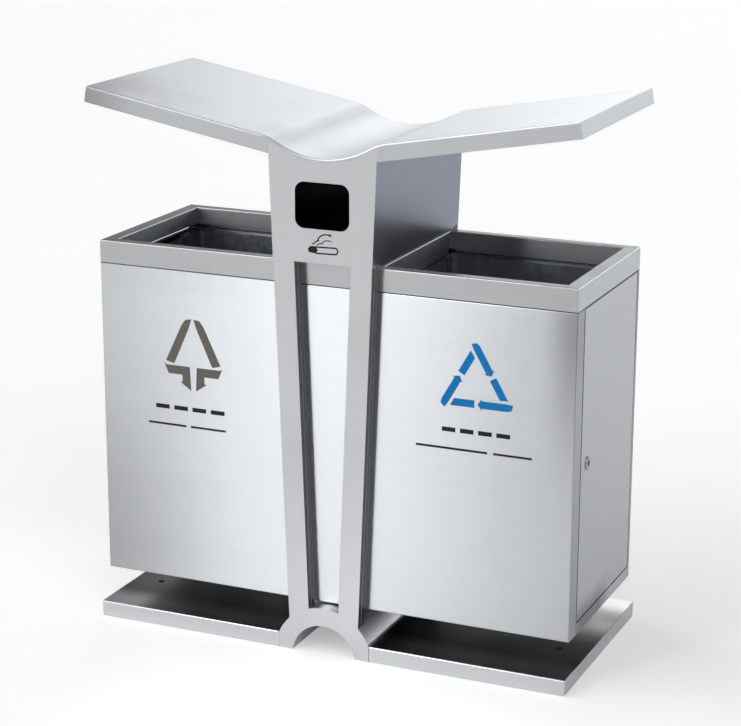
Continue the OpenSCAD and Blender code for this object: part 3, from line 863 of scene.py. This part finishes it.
def add_floor():
    """A pale floor with a faint glow of its own in the camera's view, so that it fades into the white."""
    reach, glow = 30.0, 0.32
    material, graph, shader, place = new_material("floor")
    cloud = graph.noise(place, 3.0, detail=3.0)
    graph.put(shader, "Base Color", graph.mix(cloud, opaque((0.86, 0.86, 0.86)), opaque((0.9, 0.9, 0.9))))
    graph.put(shader, "Roughness", graph.ramp(cloud, *NOISE_SPAN, 0.7, 0.8))
    graph.put(shader, "Emission Color", WHITE)
    seen = graph.add("ShaderNodeLightPath").outputs["Is Camera Ray"]
    graph.put(shader, "Emission Strength", graph.product(seen, glow))
    mesh = bpy.data.meshes.new("floor")
    corners = [(-reach, -reach, 0), (reach, -reach, 0), (reach, reach, 0), (-reach, reach, 0)]
    mesh.from_pydata(corners, [], [(0, 1, 2, 3)])
    mesh.materials.append(material)
    floor = bpy.data.objects.new("floor", mesh)
    scene.collection.objects.link(floor)


# Each glow: azimuth, half its width, elevation of its brightest line, reach below and above, strength.
# Angles are in degrees, with azimuth 0 in front (-Y) and 90 at the right (+X). The last glow is
# overhead, and nearly even all round.
GLOWS = (
    (-28, 3, 38, 25, 30, 9.5),
    (-25, 3, 10, 20, 22, 7.5),
    (-22, 3, 10, 20, 22, 7.5),
    (-90, 45, 35, 25, 35, 3.0),
    (-45, 45, 35, 25, 35, 3.0),
    (45, 45, 35, 25, 35, 3.0),
    (135, 45, 8, 18, 24, 2.0),
    (180, 45, 8, 18, 24, 2.0),
    (-156, 8, 16, 18, 24, 1.25),
    (-164, 8, 16, 18, 30, 2.0),
    (-172, 8, 16, 18, 30, 2.5),
    (0, 2000, 90, 50, 10, 0.3),
)


def glow_towards(graph, azimuth, elevation, glow):
    """The light of one glow: brightest in its middle, and falling evenly to zero at its edges."""
    centre, half_width, height, below, above, strength = glow
    aside = graph.add("ShaderNodeMath", operation="WRAP")
    graph.put(aside, 0, graph.math("SUBTRACT", azimuth, centre))
    graph.put(aside, 1, 180.0)
    graph.put(aside, 2, -180.0)
    off = graph.math("DIVIDE", graph.size(aside.outputs[0]), half_width)
    across = graph.math("SUBTRACT", 1.0, off, clamp=True)
    lift = graph.math("SUBTRACT", elevation, height)
    under = graph.math("ADD", graph.math("DIVIDE", lift, below), 1.0, clamp=True)
    over = graph.math("SUBTRACT", 1.0, graph.math("DIVIDE", lift, above), clamp=True)
    return graph.product(across, graph.math("MINIMUM", under, over), strength)


def add_surroundings():
    """A dark studio with soft glowing screens round the bin, seen by the camera as plain white."""
    world = bpy.data.worlds.new("studio")
    world.use_nodes = True
    world.node_tree.nodes.clear()
    graph = Graph(world.node_tree)
    x, y, z = graph.axes(graph.add("ShaderNodeTexCoord").outputs["Generated"])
    to_degrees = 180 / math.pi
    azimuth = graph.product(graph.math("ARCTAN2", x, graph.product(y, -1.0)), to_degrees)
    elevation = graph.product(graph.math("ARCSINE", z), to_degrees)
    total = 0.0
    for glow in GLOWS:
        total = graph.math("ADD", glow_towards(graph, azimuth, elevation, glow), total)
    lit = graph.add("ShaderNodeBackground")
    graph.put(lit, "Color", WHITE)
    graph.put(lit, "Strength", total)
    seen = graph.add("ShaderNodeBackground")
    graph.put(seen, "Color", WHITE)
    choose = graph.add("ShaderNodeMixShader")
    graph.put(choose, 0, graph.add("ShaderNodeLightPath").outputs["Is Camera Ray"])
    graph.links.new(lit.outputs[0], choose.inputs[1])
    graph.links.new(seen.outputs[0], choose.inputs[2])
    output = graph.add("ShaderNodeOutputWorld")
    graph.links.new(choose.outputs[0], output.inputs[0])
    scene.world = world


def add_downlight(name, x, y, height, pool_radius, watts):
    """A soft light straight above, for a pool of light on the floor that the front sheets mirror."""
    light = bpy.data.lights.new(name, "SPOT")
    light.energy = watts
    light.spot_size = 2 * math.atan2(pool_radius, height)
    light.spot_blend = 1.0
    light.shadow_soft_size = 0.15
    lamp = bpy.data.objects.new(name, light)
    lamp.location = (x, y, height)
    scene.collection.objects.link(lamp)


add_floor()
add_surroundings()
add_downlight("near_downlight", 0.14, -0.68, height=2.5, pool_radius=0.5, watts=100.0)
add_downlight("far_downlight", -1.0, -1.7, height=3.0, pool_radius=0.9, watts=45.0)

scene.view_settings.view_transform = "Standard"
